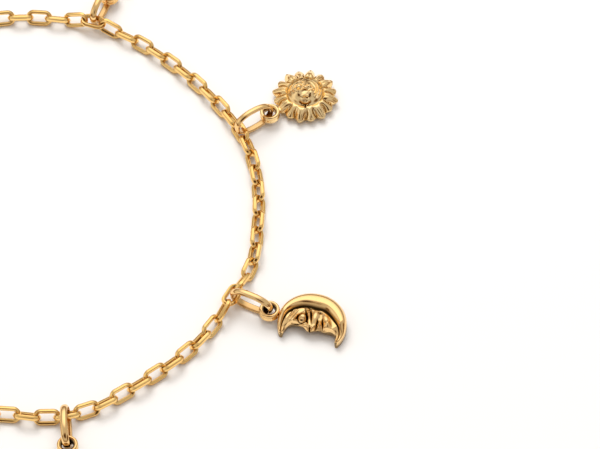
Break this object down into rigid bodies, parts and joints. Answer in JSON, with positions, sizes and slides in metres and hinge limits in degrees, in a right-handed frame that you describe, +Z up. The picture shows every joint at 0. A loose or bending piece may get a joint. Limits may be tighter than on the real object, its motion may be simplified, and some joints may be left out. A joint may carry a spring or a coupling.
{
  "type": "charm bracelet",
  "caption": "Gold cable-chain bracelet laid out in a closed loop, with a domed sun face, a crescent moon face and plain discs on oval jump rings.",
  "frame": {"origin": "middle of the bounding box at its lowest height, on the surface that the bracelet lies on", "axes": "+Z up from the surface, +Y away from the picture's viewer, +X to the right, towards the sun and moon charms"},
  "size_m": [0.0732, 0.0856, 0.0035],
  "materials": {
    "gold": "polished"
  },
  "bodies": {
    "root": {"chain": "gold", "clasp": "gold", "ring_top": "gold", "top_charm": "gold", "ring_sun": "gold", "sun_charm": "gold", "ring_moon": "gold", "moon_charm": "gold", "ring_bottom": "gold", "bottom_charm": "gold"}
  },
  "joints": []
}
